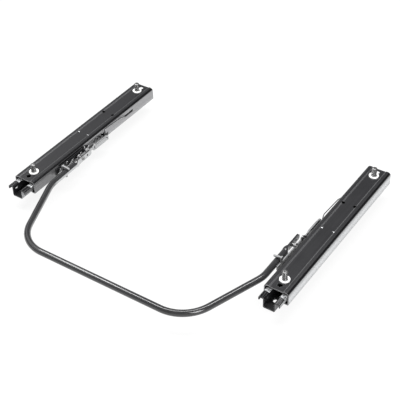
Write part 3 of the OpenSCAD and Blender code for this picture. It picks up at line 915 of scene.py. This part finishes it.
class RAILS_OT_bend_springs(bpy.types.Operator):
    """Build the return springs as bent wire running from the rail to the lever"""

    bl_idname = "rails.bend_springs"
    bl_label = "Bend Return Springs"

    def execute(self, context):
        sizes = context.scene.spring_sizes
        finish = steel_finish("spring_wire", context.scene.steel_looks.wire, 0.3, WIRE_GRAIN)
        r = sizes.wire_d / 2
        for side, turn in (("left", -1), ("right", 1)):
            low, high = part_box(f"{side}_return_spring")
            wall, tail = sorted((abs(low.x), abs(high.x)), reverse=True)
            slot_z = high.z - r - sizes.hook_drop
            line = wall - sizes.off_wall
            points = [
                (wall, high.y - r, slot_z),
                (line, high.y - r, slot_z),
                (line, high.y - r - sizes.rise_len, high.z - r),
                (line, low.y + r + sizes.leg_in, sizes.crest_z),
                (tail + sizes.tail_len, low.y + r, low.z + r),
                (tail, low.y + r, low.z + r),
            ]
            points = [(turn * px, py, pz) for px, py, pz in points]
            path = finer(rounded_path(points, sizes.bend_r), sizes.step)
            piece = ring_mesh(f"{side}_spring_wire", wire_rings(path, r, sizes.sides))
            piece.data.materials.append(finish)
            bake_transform(piece)
            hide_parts(f"{side}_return_spring")
        return {"FINISHED"}


class RAILS_OT_mould_nylon(bpy.types.Operator):
    """Finish the washers, guide pads and ball cages"""

    bl_idname = "rails.mould_nylon"
    bl_label = "Mould Nylon Pieces"

    def execute(self, context):
        looks = context.scene.nylon_looks
        washers = nylon_finish("washer_nylon", looks.washer)
        put(washers, "washer_nylon", *both("front_washer", "rear_washer"))
        put(nylon_finish("pad_nylon", looks.pad), "pad_nylon", *both("guide_pads"))
        put(nylon_finish("cage_nylon", looks.cage), "cage_nylon", *both("ball_cages"))
        return {"FINISHED"}


class RAILS_OT_polish_balls(bpy.types.Operator):
    """Finish the bearing balls"""

    bl_idname = "rails.polish_balls"
    bl_label = "Polish Balls"

    def execute(self, context):
        finish = steel_finish("ball_steel", context.scene.steel_looks.ball, 0.12, BALL_GRAIN, 1.0)
        put(finish, "bearing_steel", *both("balls"))
        return {"FINISHED"}


class RAILS_OT_set_stage(bpy.types.Operator):
    """Make the floor, the soft light and the camera"""

    bl_idname = "rails.set_stage"
    bl_label = "Set Stage"

    def execute(self, context):
        looks = context.scene.stage_looks
        context.scene.view_settings.view_transform = "Standard"
        self.floor(context, looks)
        self.sky(context, looks)
        for name, power, *rest in LAMPS:
            self.lamp(context, name, getattr(looks, power), *rest)
        self.camera(context, looks)
        return {"FINISHED"}

    def floor(self, context, looks):
        mesh = bpy.data.meshes.new("floor")
        around = ((-1, -1), (1, -1), (1, 1), (-1, 1))
        corners = [(i * FLOOR_HALF, j * FLOOR_HALF, looks.floor_z) for i, j in around]
        mesh.from_pydata(corners, [], [(0, 1, 2, 3)])
        floor = bpy.data.objects.new("floor", mesh)
        context.scene.collection.objects.link(floor)
        material, b = new_finish("floor_white")
        seen = self.seen(b)
        plain = b.node("ShaderNodeBsdfDiffuse", None, {"Color": rgb(looks.floor)})
        white = b.node("ShaderNodeEmission", None, {"Color": WHITE, "Strength": 1.0})
        b.close(b.node("ShaderNodeMixShader", None, {0: seen * FLOOR_GLOW, 1: plain, 2: white}))
        mesh.materials.append(material)

    def seen(self, b):
        """1 for rays that show the surroundings, straight, in a reflection or through glass."""
        names = ("Is Camera Ray", "Is Glossy Ray", "Is Transmission Ray")
        direct, glossy, through = (b.node("ShaderNodeLightPath", out=name) for name in names)
        return direct.most(glossy).most(through)

    def sky(self, context, looks):
        """White to the camera, and mirrored as white only at the horizon and the upper left."""
        world = bpy.data.worlds.new("studio")
        context.scene.world = world
        world.use_nodes = True
        b = Build(world.node_tree)
        direct = b.node("ShaderNodeLightPath", out="Is Camera Ray")
        glossy = b.node("ShaderNodeLightPath", out="Is Glossy Ray")
        to_right, _, rise = b.axes(b.node("ShaderNodeTexCoord", out="Generated"))
        patch = b.span(rise, 0.4, 0.56) * b.span(to_right, -0.42, -0.6)
        mirrored = 1 - looks.dim * b.span(rise, 0.04, 0.2) + looks.patch * patch
        strength = direct + (1 - direct) * (glossy * mirrored + (1 - glossy) * looks.sky)
        light = b.node("ShaderNodeBackground", None, {"Color": WHITE, "Strength": strength})
        b.node("ShaderNodeOutputWorld", None, {"Surface": light})

    def lamp(self, context, name, power, at, size, along):
        """A flat lamp that faces the origin, with its first side along a direction."""
        lamp = bpy.data.lights.new(name, "AREA")
        lamp.shape = "RECTANGLE"
        lamp.size, lamp.size_y = size
        lamp.energy = power
        piece = bpy.data.objects.new(name, lamp)
        back = Vector(at).normalized()
        side = back.cross(Vector(along)).normalized()
        axes = Matrix((side.cross(back), side, back)).transposed()
        piece.matrix_world = Matrix.Translation(at) @ axes.to_4x4()
        context.scene.collection.objects.link(piece)

    def camera(self, context, looks):
        lens = bpy.data.cameras.new("camera")
        lens.sensor_width = SENSOR_WIDTH
        lens.lens = looks.lens
        lens.shift_x, lens.shift_y = CAMERA_SHIFT
        a, e, t = looks.azimuth, looks.elevation, looks.roll
        back = Vector((math.sin(a) * math.cos(e), -math.cos(a) * math.cos(e), math.sin(e)))
        right = Vector((0.0, 0.0, 1.0)).cross(back).normalized()
        up = back.cross(right)
        axes = Matrix(
            (math.cos(t) * right + math.sin(t) * up, math.cos(t) * up - math.sin(t) * right, back)
        ).transposed()
        at = CAMERA_AIM + back * looks.distance
        camera = bpy.data.objects.new("camera", lens)
        camera.matrix_world = Matrix.Translation(at) @ axes.to_4x4()
        context.scene.collection.objects.link(camera)
        context.scene.camera = camera


class RAILS_PT_tools(bpy.types.Panel):
    """Lists the steps that finish the rails"""

    bl_label = "Slide Rails"
    bl_space_type = "VIEW_3D"
    bl_region_type = "UI"
    bl_category = "Slide Rails"

    def draw(self, context):
        for step in STEPS:
            self.layout.operator(step.bl_idname)


STEPS = (
    RAILS_OT_coat_rails,
    RAILS_OT_coat_bar,
    RAILS_OT_plate_latches,
    RAILS_OT_cut_studs,
    RAILS_OT_bend_springs,
    RAILS_OT_mould_nylon,
    RAILS_OT_polish_balls,
    RAILS_OT_set_stage,
)
GROUPS = {
    "rail_looks": RailLooks,
    "bar_looks": BarLooks,
    "steel_looks": SteelLooks,
    "nylon_looks": NylonLooks,
    "thread_sizes": ThreadSizes,
    "spring_sizes": SpringSizes,
    "stage_looks": StageLooks,
}
CLASSES = (*GROUPS.values(), *STEPS, RAILS_PT_tools)


def register():
    for item in CLASSES:
        bpy.utils.register_class(item)
    for name, group in GROUPS.items():
        setattr(bpy.types.Scene, name, PointerProperty(type=group))


def unregister():
    for name in GROUPS:
        delattr(bpy.types.Scene, name)
    for item in reversed(CLASSES):
        bpy.utils.unregister_class(item)


def main():
    register()
    bpy.ops.rails.coat_rails()
    bpy.ops.rails.coat_bar()
    bpy.ops.rails.plate_latches()
    bpy.ops.rails.cut_studs()
    bpy.ops.rails.bend_springs()
    bpy.ops.rails.mould_nylon()
    bpy.ops.rails.polish_balls()
    bpy.ops.rails.set_stage()


if __name__ == "__main__":
    main()
